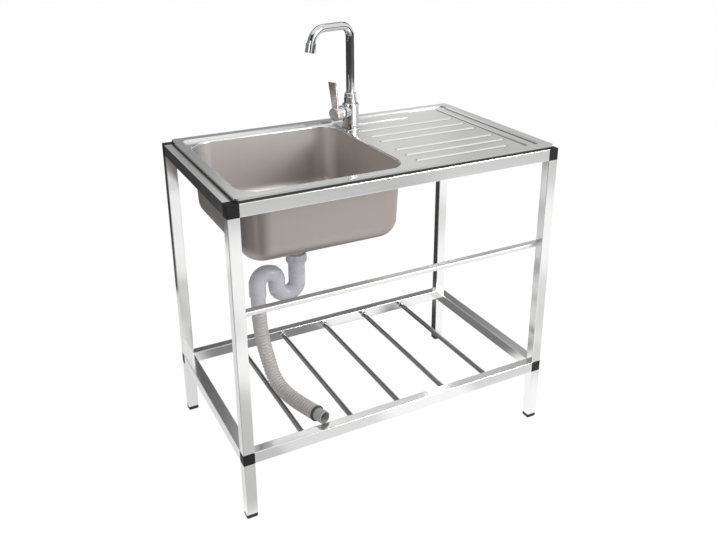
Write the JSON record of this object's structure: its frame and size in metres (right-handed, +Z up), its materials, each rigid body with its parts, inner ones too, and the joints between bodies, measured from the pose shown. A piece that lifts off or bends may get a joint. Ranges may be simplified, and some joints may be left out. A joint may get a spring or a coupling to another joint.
{
  "type": "kitchen sink unit",
  "caption": "Free-standing sink unit: pressed steel top with a bowl and ribbed drainer on a square-tube stand, with a single-lever tap, strainer, trap and drain hose.",
  "frame": {"origin": "on the floor under the centre of the stand", "axes": "+X to the drainer side (right), +Y to the back, +Z up"},
  "size_m": [0.868, 0.515, 1.09],
  "materials": {
    "tube": "satin",
    "black_plastic": "matte",
    "white_plastic": "satin",
    "rod": "polished",
    "sheet": "brushed",
    "seal_rubber": "matte",
    "trap_plastic": "satin",
    "hose_plastic": "satin",
    "cuff_rubber": "matte",
    "chrome": "polished",
    "handle_metal": "satin",
    "brass": "turned",
    "zinc": "zinc plated",
    "cartridge_plastic": "moulded"
  },
  "bodies": {
    "stand": {"upper_leg_fl": "tube", "lower_leg_fl": "tube", "top_corner_fl": "black_plastic", "shelf_corner_fl": "black_plastic", "upper_leg_fr": "tube", "lower_leg_fr": "tube", "top_corner_fr": "black_plastic", "shelf_corner_fr": "black_plastic", "upper_leg_bl": "tube", "lower_leg_bl": "tube", "top_corner_bl": "black_plastic", "shelf_corner_bl": "black_plastic", "upper_leg_br": "tube", "lower_leg_br": "tube", "top_corner_br": "black_plastic", "shelf_corner_br": "black_plastic", "foot_inserts": "black_plastic", "top_rail_front": "tube", "shelf_rail_front": "tube", "top_rail_back": "tube", "shelf_rail_back": "tube", "top_rail_left": "tube", "shelf_rail_left": "tube", "top_rail_right": "tube", "shelf_rail_right": "tube", "shelf_rods": "rod", "rod_bushes": "white_plastic", "mid_rail": "tube", "mid_rail_end_plugs": "black_plastic", "mid_rail_screws": "chrome", "sink_top": "sheet", "rim_seal": "seal_rubber", "strainer_body": "chrome", "strainer_gasket": "seal_rubber", "strainer_locknut": "trap_plastic", "tailpiece": "trap_plastic", "slip_nuts": "trap_plastic", "trap_bend": "trap_plastic", "hose_collar": "trap_plastic", "drain_hose": "hose_plastic", "hose_cuff": "cuff_rubber", "faucet_gasket": "seal_rubber", "faucet_body": "chrome", "clamp_washer": "zinc", "clamp_nut": "brass", "spout_collar": "chrome", "cartridge_cap": "chrome"},
    "basket": {"strainer_basket": "chrome"},
    "spout": {"spout": "chrome", "aerator": "chrome"},
    "cartridge": {"cartridge_turret": "cartridge_plastic"},
    "handle": {"handle": "handle_metal", "handle_stem": "brass"},
    "foot_fl": {"foot_fl": "black_plastic"},
    "foot_fr": {"foot_fr": "black_plastic"},
    "foot_bl": {"foot_bl": "black_plastic"},
    "foot_br": {"foot_br": "black_plastic"}
  },
  "joints": [
    {"name": "foot_fl_height", "type": "slide", "parent": "stand", "child": "foot_fl", "axis": [0, 0, -1], "range_m": [0, 0.02]},
    {"name": "foot_fr_height", "type": "slide", "parent": "stand", "child": "foot_fr", "axis": [0, 0, -1], "range_m": [0, 0.02]},
    {"name": "foot_bl_height", "type": "slide", "parent": "stand", "child": "foot_bl", "axis": [0, 0, -1], "range_m": [0, 0.02]},
    {"name": "foot_br_height", "type": "slide", "parent": "stand", "child": "foot_br", "axis": [0, 0, -1], "range_m": [0, 0.02]},
    {"name": "basket_lift", "type": "slide", "parent": "stand", "child": "basket", "axis": [0, 0, 1], "range_m": [0, 0.25]},
    {"name": "spout_swivel", "type": "hinge", "parent": "stand", "child": "spout", "pos_m": [0.057, 0.155, 0.9], "axis": [0, 0, 1], "continuous": true},
    {"name": "temperature_turn", "type": "hinge", "parent": "stand", "child": "cartridge", "pos_m": [0.057, 0.155, 0.851], "axis": [-0.9397, -0.342, 0], "range_deg": [-45, 45]},
    {"name": "flow_lift", "type": "hinge", "parent": "cartridge", "child": "handle", "pos_m": [0.02317, 0.14269, 0.851], "axis": [0.342, -0.9397, 0], "range_deg": [0, 20]}
  ]
}
